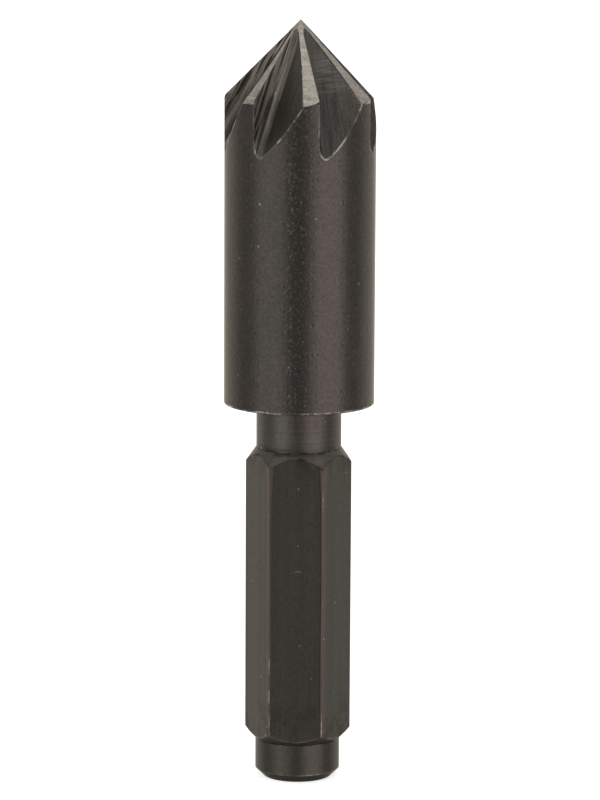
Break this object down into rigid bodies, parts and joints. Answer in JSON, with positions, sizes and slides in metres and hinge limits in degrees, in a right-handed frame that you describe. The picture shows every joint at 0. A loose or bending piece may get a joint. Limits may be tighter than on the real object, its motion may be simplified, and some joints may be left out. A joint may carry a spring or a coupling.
{
  "type": "countersink bit",
  "caption": "One-piece countersink bit with a fluted conical point, a plain cylindrical head, a round neck and a hexagon shank that ends in a short round pin.",
  "frame": {"origin": "middle of the flat end of the shank pin, the lowest point of the bit as it stands", "axes": "+Z along the axis from the shank end to the cutting point; one flat of the hexagon faces -Y, a few degrees off"},
  "size_m": [0.013, 0.013, 0.0662],
  "materials": {
    "blackened_tool_steel": "black-oxide tool steel, satin, with the cutting lands, long edges and rims worn to bare grey-beige metal"
  },
  "bodies": {
    "root": {"countersink_bit": "blackened_tool_steel"}
  },
  "joints": []
}
